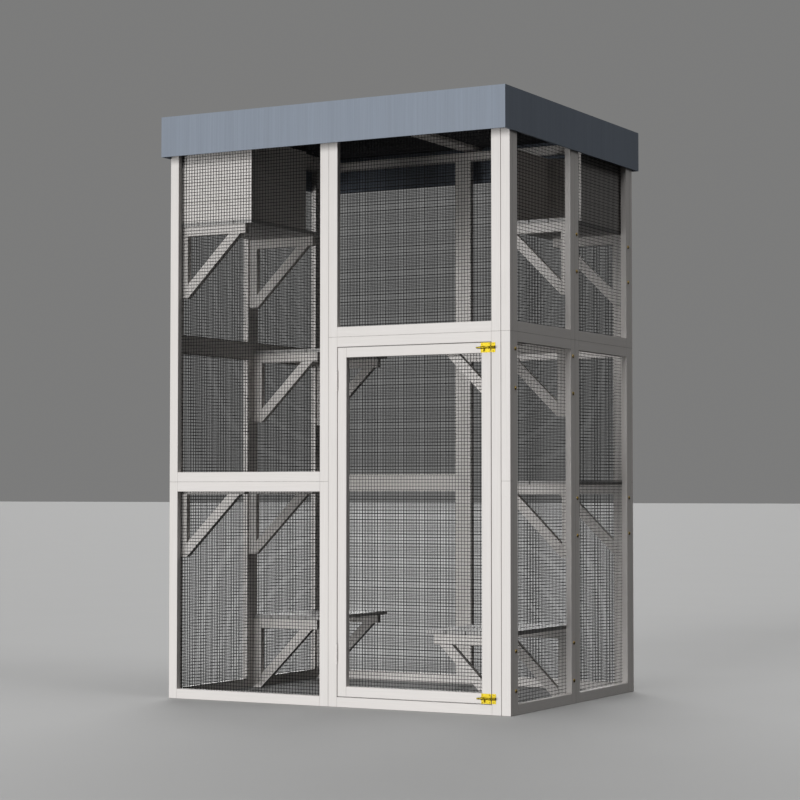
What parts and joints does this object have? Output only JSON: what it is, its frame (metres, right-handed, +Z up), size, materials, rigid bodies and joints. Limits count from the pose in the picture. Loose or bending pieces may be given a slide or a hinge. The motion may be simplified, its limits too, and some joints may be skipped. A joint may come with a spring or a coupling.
{
  "type": "outdoor cat enclosure",
  "caption": "Tall timber-framed outdoor cat enclosure with wire mesh walls, a hinged bolted door, slatted platforms on brackets, sleeping boxes and a flat lidded roof.",
  "frame": {"origin": "centre of the footprint on the ground, under the middle of the roof", "axes": "+Z up, the door is in the front wall and faces -Y, +X to the right as seen from the front"},
  "size_m": [1.2864, 1.073, 1.952],
  "materials": {
    "white_timber": "painted satin",
    "slats": "painted satin",
    "nest_boards": "painted satin",
    "roof_boards": "mineral felt",
    "black_wire": "coated",
    "hinge_paint": "painted",
    "pin_steel": "bright",
    "brass": "bright plated"
  },
  "bodies": {
    "frame": {"front_left_lower_frame": "white_timber", "front_left_upper_frame": "white_timber", "front_right_upper_frame": "white_timber", "door_surround": "white_timber", "back_left_lower_frame": "white_timber", "back_left_upper_frame": "white_timber", "back_right_lower_frame": "white_timber", "back_right_upper_frame": "white_timber", "left_lower_frame": "white_timber", "left_upper_frame": "white_timber", "right_lower_frame": "white_timber", "right_upper_frame": "white_timber", "corner_strips": "white_timber", "front_left_mesh": "black_wire", "front_right_mesh": "black_wire", "back_left_mesh": "black_wire", "back_right_mesh": "black_wire", "left_lower_mesh": "black_wire", "left_upper_mesh": "black_wire", "right_lower_mesh": "black_wire", "right_upper_mesh": "black_wire", "left_platform_1": "slats", "left_platform_2": "slats", "left_platform_3": "slats", "left_platform_4": "slats", "right_platform_1": "slats", "right_platform_2": "slats", "right_platform_3": "slats", "right_platform_4": "slats", "left_brackets_1": "white_timber", "left_brackets_2": "white_timber", "left_brackets_3": "white_timber", "left_brackets_4": "white_timber", "right_brackets_1": "white_timber", "right_brackets_2": "white_timber", "right_brackets_3": "white_timber", "right_brackets_4": "white_timber", "left_nest_box": "nest_boards", "right_nest_box": "nest_boards", "roof_deck": "roof_boards", "roof_joist": "white_timber", "roof_bearers": "white_timber", "fascia_front": "roof_boards", "fascia_back": "roof_boards", "fascia_left": "roof_boards", "fascia_right": "roof_boards", "hinge_jamb_leaves": "hinge_paint", "hinge_pins": "pin_steel", "bolt_keepers": "brass", "bracket_screws": "brass"},
    "door": {"door_frame": "white_timber", "door_mesh": "black_wire", "hinge_door_leaves": "hinge_paint", "lower_bolt_case": "brass", "upper_bolt_case": "brass"},
    "lower_rod": {"lower_bolt_rod": "brass"},
    "upper_rod": {"upper_bolt_rod": "brass"},
    "lower_handle": {"lower_bolt_handle": "brass"},
    "upper_handle": {"upper_bolt_handle": "brass"}
  },
  "joints": [
    {"name": "door_hinge", "type": "hinge", "parent": "frame", "child": "door", "pos_m": [0.01725, -0.49305, 0.6], "axis": [0, 0, -1], "range_deg": [0, 170]},
    {"name": "lower_bolt_slide", "type": "slide", "parent": "door", "child": "lower_rod", "axis": [1, 0, 0], "range_m": [0, 0.014]},
    {"name": "lower_bolt_turn", "type": "hinge", "parent": "lower_rod", "child": "lower_handle", "pos_m": [0.54975, -0.4958, 0.0505], "axis": [-1, 0, 0], "range_deg": [0, 120]},
    {"name": "upper_bolt_slide", "type": "slide", "parent": "door", "child": "upper_rod", "axis": [1, 0, 0], "range_m": [0, 0.014]},
    {"name": "upper_bolt_turn", "type": "hinge", "parent": "upper_rod", "child": "upper_handle", "pos_m": [0.54975, -0.4958, 1.14], "axis": [-1, 0, 0], "range_deg": [0, 120]}
  ]
}
